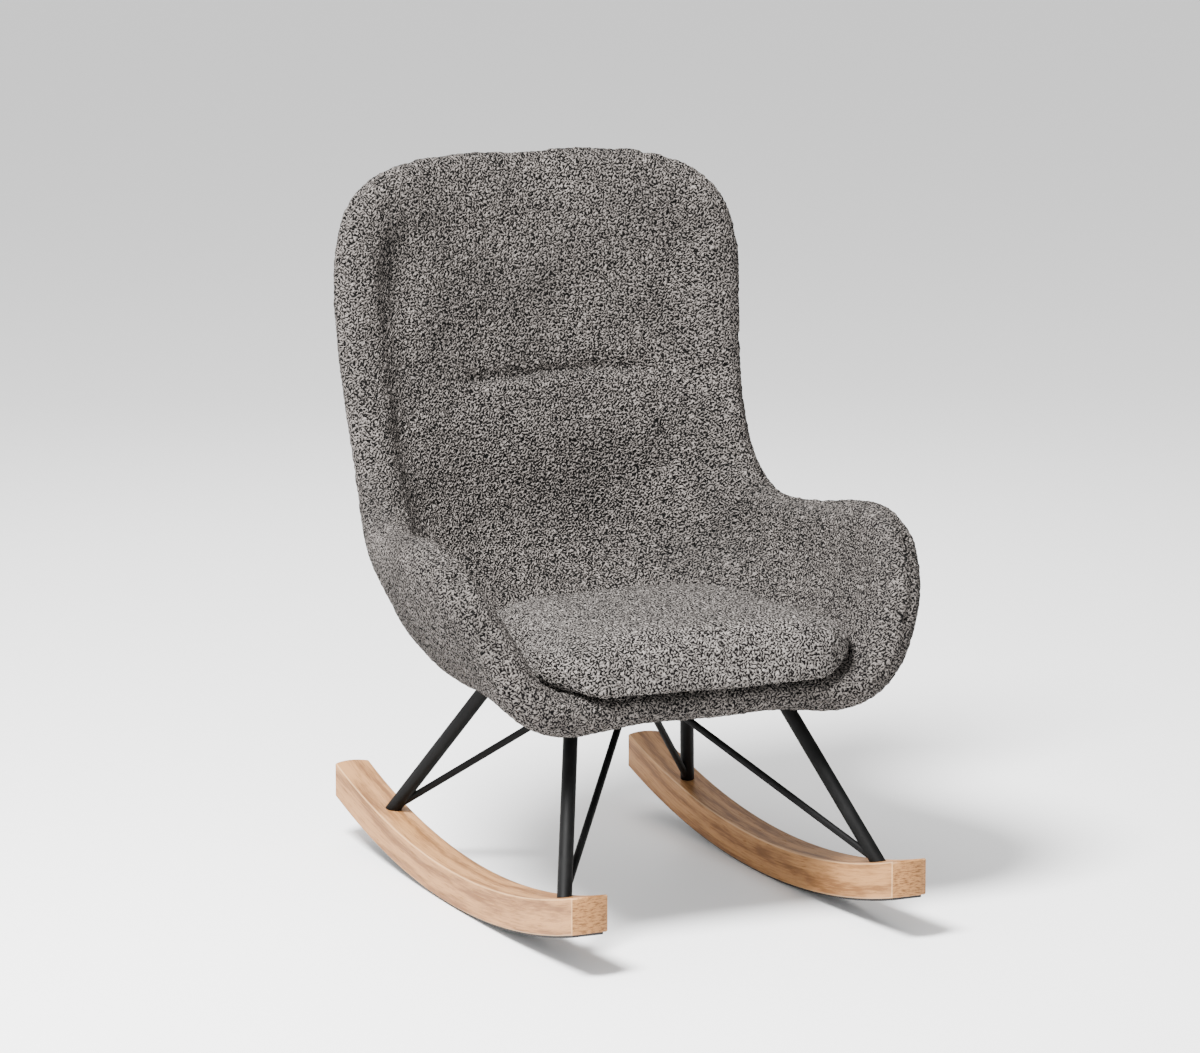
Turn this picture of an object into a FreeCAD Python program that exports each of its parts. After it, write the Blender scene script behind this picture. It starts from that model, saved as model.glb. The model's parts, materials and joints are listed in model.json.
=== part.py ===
import FreeCAD, Part

import math
import os

from FreeCAD import Rotation
from FreeCAD import Vector

# Rocking chair: an upholstered bucket shell on four splayed tube legs, four thin
# brace rods, two bent oak rockers, and a loose seat cushion.
# Millimetres. +Z is up, the chair faces -Y, and +X is the sitter's left.
# The origin is on the floor, midway between the rockers' contact points.

os.makedirs("parts", exist_ok=True)

# ---------------------------------------------------------------- driving dimensions

# The bucket's middle surface. Its centre line runs from the front lip, along the
# seat and up the back, and is given as (y, z) at even steps.
CENTRE_LINE = [
    (-263, 302),
    (-160, 300),
    (-58, 300),
    (61, 305),
    (226, 397),
    (297, 600),
    (312, 793),
    (310, 922),
]
# At even steps along the same line: half width, how far the side rises from the
# centre line, and how far that rise leans from upright towards the front (degrees).
SIDE_LINE = [
    (228, 69, 92),
    (280, 168, 61),
    (320, 217, 33),
    (297, 166, 38),
    (262, 80, 76),
    (281, 58, 90),
    (290, 50, 99),
]
RIM_SQUARENESS = 3.7
WRAP_ANGLE = math.radians(61)
SEAT_FLATNESS = 2.1
BACK_FLATNESS = 1.0
FLATNESS_BLEND = 0.15

# Padding measured from the middle surface to the face of the fabric: thin at the
# lip and seat, full at the arms and back, and fullest outside the lower corners.
LIP_PADDING = 20
RIM_PADDING = 28
CORNER_PADDING = 32
LIP_HEIGHT = 305
ARM_HEIGHT = 390
CORNER_START_X = 90
CORNER_FULL_X = 200
FABRIC = 2.5
CORE_HALF = 4
SLACK = 0.3
CORE_GAP = 0.8
SEAM_ANGLE = math.radians(88)

RING_COUNT = 9
COLUMN_COUNT = 44
ROLL_STEPS = 3

# Rockers: a bent oak slat over a rubber strip.
ROCKER_RADIUS = 1505
STRIP_THICKNESS = 3
ROCKER_DEPTH = 45.6
ROCKER_WIDTH = 49.4
ROCKER_X = 221.3
ROCKER_REACH = 408
ROCKER_END_BULGE = 6
ROCKER_EDGE = 2.5
STRIP_WIDTH = 41
STRIP_FRONT = -397
STRIP_BACK = 372

# Legs and braces, each from its foot on the rocker to its top under the seat.
FOOT_X = 219.3
FRONT_FOOT_Y = -320.4
REAR_FOOT_Y = 253.9
LEG_DIAMETER = 19
LEG_WALL = 2
BRACE_DIAMETER = 9.6
FRONT_LEG_TOP = (149.4, -183.3)
REAR_LEG_TOP = (140.8, 90.6)
FRONT_BRACE_TOP = (19.5, -71.0)
REAR_BRACE_TOP = (28.5, 6.0)

# Steel frame, board and dust cover under the seat, stacked downwards.
BOARD_TOP = 293
BOARD_THICKNESS = 11
DUST_COVER_THICKNESS = 1.2
DUST_COVER_INSET = 4
STAPLE_LENGTH = 11
STAPLE_THICKNESS = 0.7
STAPLE_INSET = 6
STAPLE_PITCH = 40
BAR_THICKNESS = 6
BAR_WIDTH = 40
FRONT_BAR_LENGTH = 326
REAR_BAR_LENGTH = 310
SPINE_WIDTH = 60
HUB_THICKNESS = 4
HUB_WIDTH = 92
HUB_FRONT = -92
HUB_BACK = 28
BOARD_HALF_WIDTH = 170
BOARD_FRONT = -214
BOARD_BACK = 118
BOARD_CORNER = 30

BOLT_DIAMETER = 8
FRONT_BOLT = (108, -183.3)
REAR_BOLT = (104, 90.6)
SPACER_DIAMETER = 24
WASHER_DIAMETER = 17
WASHER_THICKNESS = 1.6
HEAD_HEIGHT = 5.3
NUT_ACROSS_FLATS = 13
NUT_HEIGHT = 6.5
TEE_FLANGE_DIAMETER = 20
TEE_FLANGE_THICKNESS = 1.5
TEE_BARREL_DIAMETER = 10
COUNTERBORE_DIAMETER = 20
COUNTERBORE_DEPTH = 13
STUD_PLUG_LENGTH = 22
HOLE_PLAY = 0.6
WASHER_PLAY = 0.4
BOARD_PLAY = 1
RECESS_DEPTH = 60
SPACER_STOCK = 30
FLANGE_ABOVE_MIDDLE = 0.5
TEE_BARREL_LENGTH = 3
BOLT_PAST_FLANGE = 3
FLANGE_POCKET_HEIGHT = 12
FOAM_HOLLOW_HEIGHT = 6
BAR_CORNER = 8
STUD_IN_PLUG = 4
STUD_SHORT_OF_SOLE = 3
HUB_CORNER = 10

# Loose seat cushion.
CUSHION_BOTTOM = 323.5
CUSHION_TOP = 389
CUSHION_FRONT = -294
CUSHION_BACK = 110
CUSHION_FRONT_HALF_WIDTH = 212
CUSHION_BACK_HALF_WIDTH = 176
CUSHION_CORNER = 70
CUSHION_EDGE = 27
CUSHION_FABRIC = 2.5
CUSHION_GAP = 0.8
ZIP_LENGTH = 240
ZIP_WIDTH = 12
ZIP_THICKNESS = 1.4
ZIP_SLIDER = (9, 2.6, 8)
ZIP_SLIDER_FROM_END = 18

# Spare length on pieces that are cut back to fit, and size of the blocks that cut them.
OVERRUN = 5
TUBE_OVERRUN = 20
TRIM_DEPTH = 60
TRIM_HALF = 600

# ---------------------------------------------------------------- derived heights

BOARD_BOTTOM = BOARD_TOP - BOARD_THICKNESS
BAR_TOP = BOARD_BOTTOM - DUST_COVER_THICKNESS
BAR_BOTTOM = BAR_TOP - BAR_THICKNESS
HUB_BOTTOM = BAR_BOTTOM - HUB_THICKNESS
UP = Vector(0, 0, 1)
ALONG_X = Vector(1, 0, 0)


def save(shape, name):
    """Write one sub-part and say what it holds."""
    shape.exportStep("parts/" + name + ".step")
    print(name, "solids", len(shape.Solids), "volume", round(shape.Volume / 1000, 1), "cm3", shape.isValid())


def group(shapes):
    """Keep identical pieces as separate solids of one node."""
    return Part.makeCompound(shapes)


def rod(start, end, diameter):
    """A round bar between two points."""
    run = end - start
    return Part.makeCylinder(diameter / 2, run.Length, start, run)


def disc(centre, diameter, height):
    """An upright round plate standing on its centre point."""
    return Part.makeCylinder(diameter / 2, height, centre, UP)


def hexagon(centre, across_flats, height, direction=UP):
    """A hexagonal prism standing on its centre point."""
    corner = across_flats / math.sqrt(3)
    points = []
    for k in range(7):
        angle = math.radians(60 * k)
        points.append(Vector(corner * math.cos(angle), corner * math.sin(angle), 0))
    prism = Part.Face(Part.makePolygon(points)).extrude(Vector(0, 0, height))
    prism.Placement = FreeCAD.Placement(centre, Rotation(UP, direction))
    return prism


def rounded_plate(x_half, y_front, y_back, corner, z_low, thickness):
    """A flat plate with round corners."""
    plate = Part.makeBox(2 * x_half, y_back - y_front, thickness, Vector(-x_half, y_front, z_low))
    upright = [e for e in plate.Edges if abs(e.tangentAt(e.FirstParameter).z) > 0.9]
    return plate.makeFillet(corner, upright)


# ---------------------------------------------------------------- bucket surface

def even_steps(count):
    """Parameters from -1 at the front lip to 1 at the top of the back."""
    return [-1 + 2 * k / (count - 1) for k in range(count)]


centre_line = Part.BSplineCurve()
centre_line.interpolate(
    Points=[Vector(0, y, z) for y, z in CENTRE_LINE],
    Parameters=even_steps(len(CENTRE_LINE)),
)
side_line = Part.BSplineCurve()
side_line.interpolate(
    Points=[Vector(*station) for station in SIDE_LINE],
    Parameters=even_steps(len(SIDE_LINE)),
)


def middle(u, v):
    """Point of the middle surface: u runs lip to top, v runs side to side."""
    centre = centre_line.value(u)
    half_width, rise, lean = side_line.value(u)
    lean = math.radians(lean)
    turn = v * WRAP_ANGLE
    back_share = 1 / (1 + math.exp(-u / FLATNESS_BLEND))
    flatness = SEAT_FLATNESS + (BACK_FLATNESS - SEAT_FLATNESS) * back_share
    lift = rise * ((1 - math.cos(turn)) / (1 - math.cos(WRAP_ANGLE))) ** flatness
    return Vector(
        half_width * math.sin(turn) / math.sin(WRAP_ANGLE),
        centre.y - math.sin(lean) * lift,
        centre.z + math.cos(lean) * lift,
    )


def rim_place(angle, radius):
    """Surface coordinates on a squared-off circle: angle 0 is the lip, 180 degrees the top."""
    c = math.cos(angle)
    s = math.sin(angle)
    reach = radius * (abs(c) ** RIM_SQUARENESS + abs(s) ** RIM_SQUARENESS) ** (-1 / RIM_SQUARENESS)
    return -reach * c, reach * s


def towards_sitter(u, v):
    """Unit normal of the middle surface on the side of the sitter."""
    step = 0.002
    along = middle(u + step, v) - middle(u - step, v)
    across = middle(u, v + step) - middle(u, v - step)
    return across.cross(along).normalize()


def ease(value, start, end):
    """0 before start, 1 after end, smooth between."""
    share = min(max((value - start) / (end - start), 0), 1)
    return share * share * (3 - 2 * share)


def padding(point, outside):
    """Padding at a point: outside is 0 on the sitter's face and 1 past the rim's edge."""
    inner = LIP_PADDING + (RIM_PADDING - LIP_PADDING) * ease(point.z, LIP_HEIGHT, ARM_HEIGHT)
    low = 1 - ease(point.z, LIP_HEIGHT, ARM_HEIGHT)
    fullness = low * ease(abs(point.x), CORNER_START_X, CORNER_FULL_X)
    corner = LIP_PADDING + (CORNER_PADDING - LIP_PADDING) * fullness
    return inner + outside * (max(inner, corner) - inner)


def column_angles():
    return [2 * math.pi * k / COLUMN_COUNT for k in range(COLUMN_COUNT)]


def offset_ring(radius, depth, side):
    """Points around the bucket at one ring, moved off the middle surface."""
    points = []
    outside = 0 if side > 0 else 1
    for angle in column_angles():
        u, v = rim_place(angle, radius)
        point = middle(u, v)
        points.append(point + towards_sitter(u, v) * (side * depth(point, outside)))
    return points


def roll_ring(theta, depth, side):
    """Points around the rim's roll, theta turned from the face to the edge."""
    points = []
    step = 0.002
    outside = math.sin(theta) ** 2 if side > 0 else 1
    for angle in column_angles():
        u, v = rim_place(angle, 1)
        point = middle(u, v)
        ahead = middle(*rim_place(angle + step, 1))
        behind = middle(*rim_place(angle - step, 1))
        normal = towards_sitter(u, v)
        outward = (ahead - behind).cross(normal).normalize()
        reach = depth(point, outside)
        off_face = normal * (side * reach * math.cos(theta))
        points.append(point + off_face + outward * (reach * math.sin(theta)))
    return points


def closed_ring(points):
    curve = Part.BSplineCurve()
    curve.interpolate(Points=points, PeriodicFlag=True, Parameters=list(range(len(points) + 1)))
    return curve


def ring_stations(rings):
    """Parameters for a stack of rings, spaced like the mean distances between them."""
    stations = [0]
    for near, far in zip(rings, rings[1:]):
        gaps = [a.distanceToPoint(b) for a, b in zip(near, far)]
        stations.append(stations[-1] + sum(gaps) / len(gaps))
    return stations


def surface_through(rings, degree_across):
    """A smooth face through rings of points that close on themselves."""
    pattern = closed_ring(rings[-1])
    round_knots = pattern.getKnots()
    round_mults = pattern.getMultiplicities()
    stations = ring_stations(rings)
    nets = []
    for ring in rings:
        if ring[0].distanceToPoint(ring[1]) < 0.001:
            nets.append([ring[0]] * pattern.NbPoles)
        else:
            nets.append(closed_ring(ring).getPoles())
    columns = []
    for k in range(pattern.NbPoles):
        column = [net[k] for net in nets]
        if degree_across == 1:
            columns.append(column)
            across_knots = [0, 1]
            across_mults = [2, 2]
        else:
            curve = Part.BSplineCurve()
            curve.interpolate(Points=column, Parameters=stations)
            columns.append(curve.getPoles())
            across_knots = curve.getKnots()
            across_mults = curve.getMultiplicities()
    poles = [[column[i] for column in columns] for i in range(len(columns[0]))]
    surface = Part.BSplineSurface()
    surface.buildFromPolesMultsKnots(
        poles, across_mults, round_mults, across_knots, round_knots, False, True, degree_across, 3
    )
    return surface.toShape()


def skin(depth, side, last_angle):
    """One side of the bucket at a depth, rolled round the rim as far as last_angle."""
    rings = [offset_ring(k / RING_COUNT, depth, side) for k in range(RING_COUNT + 1)]
    for k in range(1, ROLL_STEPS + 1):
        rings.append(roll_ring(last_angle * k / ROLL_STEPS, depth, side))
    return surface_through(rings, 3)


def solid_from(faces):
    shell = Part.makeShell(faces)
    shell.sewShape()
    solid = Part.makeSolid(shell)
    if solid.Volume < 0:
        solid.reverse()
    return solid


def layer(inner_depth, outer_depth, side, last_angle):
    """A padded or fabric layer between two depths on one side of the middle surface."""
    edge = surface_through([roll_ring(last_angle, d, side) for d in (inner_depth, outer_depth)], 1)
    faces = [skin(inner_depth, side, last_angle), skin(outer_depth, side, last_angle), edge]
    return solid_from(faces)


def core_face(point, outside):
    return CORE_HALF


def foam_inner_face(point, outside):
    return CORE_HALF + CORE_GAP


def foam_outer_face(point, outside):
    return padding(point, outside) - FABRIC - SLACK


def fabric_inner_face(point, outside):
    return padding(point, outside) - FABRIC


def fabric_outer_face(point, outside):
    return padding(point, outside)


def make_bucket():
    """Moulded core, foam on both sides, and the two fabric covers."""
    quarter = math.pi / 2
    core = solid_from([skin(core_face, 1, quarter), skin(core_face, -1, quarter)])
    inner_foam = layer(foam_inner_face, foam_outer_face, 1, quarter)
    outer_foam = layer(foam_inner_face, foam_outer_face, -1, SEAM_ANGLE)
    inner_cover = layer(fabric_inner_face, fabric_outer_face, 1, quarter)
    outer_cover = layer(fabric_inner_face, fabric_outer_face, -1, SEAM_ANGLE)
    return core, inner_foam, outer_foam, inner_cover, outer_cover


# ---------------------------------------------------------------- rockers

def arc_height(y, radius):
    """Height at y of an arc whose centre stands over the origin."""
    return ROCKER_RADIUS - math.sqrt(radius * radius - y * y)


def arc_edge(y_start, y_end, radius):
    middle_y = (y_start + y_end) / 2
    points = [Vector(0, y, arc_height(y, radius)) for y in (y_start, middle_y, y_end)]
    return Part.Arc(*points).toShape()


def arc_band(y_start, y_end, outer_radius, inner_radius, width, x_centre):
    """A curved slat between two radii about the rocking centre."""
    low = arc_edge(y_start, y_end, outer_radius)
    high = arc_edge(y_end, y_start, inner_radius)
    start = Part.makeLine(high.Vertexes[-1].Point, low.Vertexes[0].Point)
    end = Part.makeLine(low.Vertexes[-1].Point, high.Vertexes[0].Point)
    face = Part.Face(Part.Wire([low, end, high, start]))
    band = face.extrude(ALONG_X * width)
    band.translate(Vector(x_centre - width / 2, 0, 0))
    return band


def rocker_plan(x_centre):
    """Upright prism whose ends bulge a little, seen from above."""
    half = ROCKER_WIDTH / 2
    flank = ROCKER_REACH - ROCKER_END_BULGE
    signs = ((-1, -1), (1, -1), (1, 1), (-1, 1))
    corners = [Vector(x_centre + sx * half, sy * flank, 0) for sx, sy in signs]
    front = Part.Arc(corners[0], Vector(x_centre, -ROCKER_REACH, 0), corners[1]).toShape()
    side = Part.makeLine(corners[1], corners[2])
    back = Part.Arc(corners[2], Vector(x_centre, ROCKER_REACH, 0), corners[3]).toShape()
    other = Part.makeLine(corners[3], corners[0])
    return Part.Face(Part.Wire([front, side, back, other])).extrude(UP * (2 * ROCKER_DEPTH + TRIM_DEPTH))


def foot_point(side_x, y):
    return Vector(side_x * FOOT_X, y, arc_height(y, ROCKER_RADIUS - STRIP_THICKNESS - ROCKER_DEPTH))


def rocking_centre(x):
    return Vector(x, 0, ROCKER_RADIUS)


def make_rocker(side_x):
    """One bent slat with its stud holes and counterbores."""
    x_centre = side_x * ROCKER_X
    outer = ROCKER_RADIUS - STRIP_THICKNESS
    reach = ROCKER_REACH + OVERRUN
    slat = arc_band(-reach, reach, outer, outer - ROCKER_DEPTH, ROCKER_WIDTH, x_centre)
    slat = slat.common(rocker_plan(x_centre)).Solids[0]
    slat = slat.makeFillet(ROCKER_EDGE, slat.Edges)
    for y in (FRONT_FOOT_Y, REAR_FOOT_Y):
        foot = foot_point(side_x, y)
        down = (foot - rocking_centre(foot.x)).normalize()
        hole_end = foot + down * (ROCKER_DEPTH + OVERRUN)
        hole = rod(foot - down * OVERRUN, hole_end, BOLT_DIAMETER + HOLE_PLAY)
        seat = foot + down * (ROCKER_DEPTH - COUNTERBORE_DEPTH)
        pocket = rod(seat, seat + down * (COUNTERBORE_DEPTH + OVERRUN), COUNTERBORE_DIAMETER)
        slat = slat.cut(hole).cut(pocket)
    return slat.Solids[0]


def make_strip(side_x):
    """Anti-slip rubber strip glued under a rocker."""
    inner = ROCKER_RADIUS - STRIP_THICKNESS
    return arc_band(STRIP_FRONT, STRIP_BACK, ROCKER_RADIUS, inner, STRIP_WIDTH, side_x * ROCKER_X)


# ---------------------------------------------------------------- legs and braces

def above_rocker(shape, side_x):
    """Trim a leg or brace where it lands on the rocker."""
    outer = ROCKER_RADIUS - STRIP_THICKNESS
    reach = ROCKER_REACH + OVERRUN
    inner = outer - ROCKER_DEPTH
    block = arc_band(-reach, reach, outer + TRIM_DEPTH, inner, 3 * ROCKER_WIDTH, side_x * ROCKER_X)
    return shape.cut(block)


def below(shape, height):
    """Trim a leg or brace level with the underside of the steel it is welded to."""
    block = Part.makeBox(2 * TRIM_HALF, 2 * TRIM_HALF, TRIM_HALF, Vector(-TRIM_HALF, -TRIM_HALF, height))
    return shape.cut(block).Solids[0]


def leg_axis(side_x, foot_y, top, top_z):
    foot = foot_point(side_x, foot_y)
    return foot, Vector(side_x * top[0], top[1], top_z)


def make_leg(side_x, foot_y, top):
    """Round steel tube, cut to the rocker's curve and to the frame's underside."""
    foot, head = leg_axis(side_x, foot_y, top, BAR_BOTTOM)
    along = (head - foot).normalize()
    start = foot - along * TUBE_OVERRUN
    end = head + along * TUBE_OVERRUN
    tube = rod(start, end, LEG_DIAMETER).cut(rod(start, end, LEG_DIAMETER - 2 * LEG_WALL))
    return below(above_rocker(tube, side_x), BAR_BOTTOM)


def make_brace(side_x, foot_y, top, leg_top):
    """Thin steel rod from the foot of a leg to the hub plate."""
    foot, head = leg_axis(side_x, foot_y, top, HUB_BOTTOM)
    along = (head - foot).normalize()
    bar = rod(foot - along * TUBE_OVERRUN, head + along * TUBE_OVERRUN, BRACE_DIAMETER)
    leg_foot, leg_head = leg_axis(side_x, foot_y, leg_top, BAR_BOTTOM)
    leg_along = (leg_head - leg_foot).normalize()
    leg_hull = rod(leg_foot - leg_along * 2 * TUBE_OVERRUN, leg_head, LEG_DIAMETER)
    bar = below(above_rocker(bar.cut(leg_hull), side_x), HUB_BOTTOM)
    return max(bar.Solids, key=lambda piece: piece.Volume)


def make_foot_stud(side_x, foot_y, top):
    """Plug welded in the leg's end, with a stud square to the rocker below it."""
    foot, head = leg_axis(side_x, foot_y, top, BAR_BOTTOM)
    along = (head - foot).normalize()
    inside = LEG_DIAMETER - 2 * LEG_WALL
    plug = above_rocker(rod(foot - along * TUBE_OVERRUN, foot + along * STUD_PLUG_LENGTH, inside), side_x)
    down = (foot - rocking_centre(foot.x)).normalize()
    stud = rod(foot - down * STUD_IN_PLUG, foot + down * (ROCKER_DEPTH - STUD_SHORT_OF_SOLE), BOLT_DIAMETER)
    return plug.fuse(stud).removeSplitter().Solids[0]


def make_foot_nut(side_x, foot_y):
    foot = foot_point(side_x, foot_y)
    down = (foot - rocking_centre(foot.x)).normalize()
    start = foot + down * (ROCKER_DEPTH - COUNTERBORE_DEPTH + WASHER_THICKNESS)
    nut = hexagon(start, NUT_ACROSS_FLATS, NUT_HEIGHT, down)
    return nut.cut(rod(start - down, start + down * (NUT_HEIGHT + 1), BOLT_DIAMETER))


def make_foot_washer(side_x, foot_y):
    foot = foot_point(side_x, foot_y)
    down = (foot - rocking_centre(foot.x)).normalize()
    start = foot + down * (ROCKER_DEPTH - COUNTERBORE_DEPTH)
    washer = rod(start, start + down * WASHER_THICKNESS, WASHER_DIAMETER)
    return washer.cut(rod(start - down, start + down * (WASHER_THICKNESS + 1), BOLT_DIAMETER))


# ---------------------------------------------------------------- frame and base board

def bolt_places():
    places = []
    for side_x in (-1, 1):
        for x, y in (FRONT_BOLT, REAR_BOLT):
            places.append(Vector(side_x * x, y, 0))
    return places


def drill(shape, diameter, z_low, z_high):
    """Cut an upright hole at each of the four mounting bolts."""
    for place in bolt_places():
        shape = shape.cut(disc(place + UP * z_low, diameter, z_high - z_low))
    return shape


def make_bar(length, y_centre):
    """Flat steel bar across the seat, with its legs welded under its ends."""
    box = Part.makeBox(
        length, BAR_WIDTH, BAR_THICKNESS, Vector(-length / 2, y_centre - BAR_WIDTH / 2, BAR_BOTTOM)
    )
    upright = [e for e in box.Edges if abs(e.tangentAt(e.FirstParameter).z) > 0.9]
    box = box.makeFillet(BAR_CORNER, upright)
    return drill(box, BOLT_DIAMETER + HOLE_PLAY, BAR_BOTTOM - 1, BAR_TOP + 1)


def make_spine():
    """Flat steel bar from the front bar to the rear bar."""
    front = FRONT_LEG_TOP[1] + BAR_WIDTH / 2
    back = REAR_LEG_TOP[1] - BAR_WIDTH / 2
    corner = Vector(-SPINE_WIDTH / 2, front, BAR_BOTTOM)
    return Part.makeBox(SPINE_WIDTH, back - front, BAR_THICKNESS, corner)


def make_hub():
    """Plate under the spine where the four braces meet."""
    return rounded_plate(HUB_WIDTH / 2, HUB_FRONT, HUB_BACK, HUB_CORNER, HUB_BOTTOM, HUB_THICKNESS)


def make_board():
    board = rounded_plate(
        BOARD_HALF_WIDTH, BOARD_FRONT, BOARD_BACK, BOARD_CORNER, BOARD_BOTTOM, BOARD_THICKNESS
    )
    return drill(board, BOLT_DIAMETER + HOLE_PLAY, BOARD_BOTTOM - 1, BOARD_TOP + 1)


def make_dust_cover():
    inset = DUST_COVER_INSET
    cover = rounded_plate(
        BOARD_HALF_WIDTH - inset,
        BOARD_FRONT + inset,
        BOARD_BACK - inset,
        BOARD_CORNER - inset,
        BAR_TOP,
        DUST_COVER_THICKNESS,
    )
    return drill(cover, BOLT_DIAMETER + HOLE_PLAY, BAR_TOP - 1, BOARD_BOTTOM + 1)


def make_staples():
    """Staple crowns along the two sides and the ends of the dust cover."""
    crowns = []
    length = STAPLE_LENGTH
    thickness = STAPLE_THICKNESS
    inset = STAPLE_INSET
    for side_x in (-1, 1):
        for k in range(-3, 4):
            y = (BOARD_FRONT + BOARD_BACK) / 2 + k * STAPLE_PITCH
            x = side_x * (BOARD_HALF_WIDTH - inset)
            place = Vector(x - thickness / 2, y - length / 2, BAR_TOP - thickness)
            crowns.append(Part.makeBox(thickness, length, thickness, place))
    for y in (BOARD_FRONT + inset, BOARD_BACK - inset):
        for k in range(-3, 4):
            place = Vector(k * STAPLE_PITCH - length / 2, y - thickness / 2, BAR_TOP - thickness)
            crowns.append(Part.makeBox(length, thickness, thickness, place))
    return group(crowns)


def core_height(place):
    """Height of the middle surface at a bolt, found along the seat."""
    best = None
    for i in range(-90, 30):
        for j in range(0, 80):
            point = middle(i / 100, j / 100)
            miss = math.hypot(point.x - abs(place.x), point.y - place.y)
            if best is None or miss < best[0]:
                best = (miss, point.z)
    return best[1]


# ---------------------------------------------------------------- seat cushion

def cushion_outline(inset):
    """Plan of the cushion: wide at the front, a little narrower at the back."""
    front_half = CUSHION_FRONT_HALF_WIDTH - inset
    back_half = CUSHION_BACK_HALF_WIDTH - inset
    front = CUSHION_FRONT + inset
    back = CUSHION_BACK - inset
    corners = [Vector(-front_half, front, 0), Vector(front_half, front, 0), Vector(back_half, back, 0),
               Vector(-back_half, back, 0)]
    return Part.Face(Part.makePolygon(corners + corners[:1]))


def cushion_body(inset):
    """Rounded slab fitted to the bucket: the whole cushion at inset 0, its foam further in."""
    height = CUSHION_TOP - CUSHION_BOTTOM - 2 * inset
    slab = cushion_outline(inset).extrude(UP * height)
    slab.translate(UP * (CUSHION_BOTTOM + inset))
    upright = [e for e in slab.Edges if abs(e.tangentAt(e.FirstParameter).z) > 0.9]
    slab = slab.makeFillet(CUSHION_CORNER - inset, upright)
    level = [e for e in slab.Edges if abs(e.BoundBox.ZLength) < 0.01]
    slab = slab.makeFillet(CUSHION_EDGE - inset, level)

    def bucket_face(point, outside):
        return padding(point, outside) + CUSHION_GAP + inset

    bucket = layer(core_face, bucket_face, 1, math.pi / 2)
    return max(slab.cut(bucket).Solids, key=lambda piece: piece.Volume)


def make_zip():
    """Zip along the back edge of the cushion's cover: its tape and its slider."""
    z_centre = (CUSHION_TOP + CUSHION_BOTTOM) / 2
    tape = Part.makeBox(
        ZIP_LENGTH, ZIP_THICKNESS, ZIP_WIDTH, Vector(-ZIP_LENGTH / 2, CUSHION_BACK, z_centre - ZIP_WIDTH / 2)
    )
    width, depth, height = ZIP_SLIDER
    x = ZIP_LENGTH / 2 - ZIP_SLIDER_FROM_END
    corner = Vector(x, CUSHION_BACK + ZIP_THICKNESS, z_centre - height / 2)
    slider = Part.makeBox(width, depth, height, corner)
    return tape, slider


# ---------------------------------------------------------------- mounting bolts

def bore(place, diameter, z_low, z_high):
    """Upright cylinder at a bolt, between two heights."""
    return disc(place + UP * z_low, diameter, z_high - z_low)


def tee_nut_heights(place):
    """Undersides of a tee nut's flange and of its barrel."""
    flange_low = core_height(place) + FLANGE_ABOVE_MIDDLE
    return flange_low, flange_low - TEE_BARREL_LENGTH


def make_tee_nut(place):
    """Threaded insert let into the core from above."""
    flange_low, barrel_low = tee_nut_heights(place)
    flange_high = flange_low + TEE_FLANGE_THICKNESS
    barrel = bore(place, TEE_BARREL_DIAMETER, barrel_low, flange_high)
    flange = bore(place, TEE_FLANGE_DIAMETER, flange_low, flange_high)
    thread = bore(place, BOLT_DIAMETER, barrel_low - 1, flange_high + 1)
    return barrel.fuse(flange).cut(thread).removeSplitter().Solids[0]


def make_spacer(place, bucket_core):
    """Plastic sleeve between the base board and the curved core."""
    barrel_low = tee_nut_heights(place)[1]
    top = BOARD_TOP + SPACER_STOCK
    sleeve = bore(place, SPACER_DIAMETER, BOARD_TOP, top).cut(bucket_core)
    sleeve = sleeve.cut(bore(place, BOLT_DIAMETER + HOLE_PLAY, BOARD_TOP - 1, top + 1))
    sleeve = min(sleeve.Solids, key=lambda piece: piece.CenterOfMass.z)
    return sleeve.cut(bore(place, TEE_BARREL_DIAMETER + SLACK, barrel_low - SLACK, top))


def make_bolt(place):
    """Hexagon-head bolt from under the frame bar up into the tee nut."""
    head_low = BAR_BOTTOM - WASHER_THICKNESS - HEAD_HEIGHT
    shank_high = tee_nut_heights(place)[0] + BOLT_PAST_FLANGE
    head = hexagon(place + UP * head_low, NUT_ACROSS_FLATS, HEAD_HEIGHT)
    return head.fuse(bore(place, BOLT_DIAMETER, head_low, shank_high)).removeSplitter().Solids[0]


def make_washer(place):
    low = BAR_BOTTOM - WASHER_THICKNESS
    washer = bore(place, WASHER_DIAMETER, low, BAR_BOTTOM)
    return washer.cut(bore(place, BOLT_DIAMETER + WASHER_PLAY, low - 1, BAR_BOTTOM + 1))


def cut_for_board(shape):
    """Make room for the base board under the bucket."""
    recess = rounded_plate(
        BOARD_HALF_WIDTH + BOARD_PLAY,
        BOARD_FRONT - BOARD_PLAY,
        BOARD_BACK + BOARD_PLAY,
        BOARD_CORNER + BOARD_PLAY,
        HUB_BOTTOM - RECESS_DEPTH,
        BOARD_TOP + SLACK - HUB_BOTTOM + RECESS_DEPTH,
    )
    return shape.cut(recess)


def cut_for_spacers(shape):
    for place in bolt_places():
        shape = shape.cut(bore(place, SPACER_DIAMETER + 1, BOARD_BOTTOM, BOARD_TOP + 2 * SPACER_STOCK))
    return shape


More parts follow.
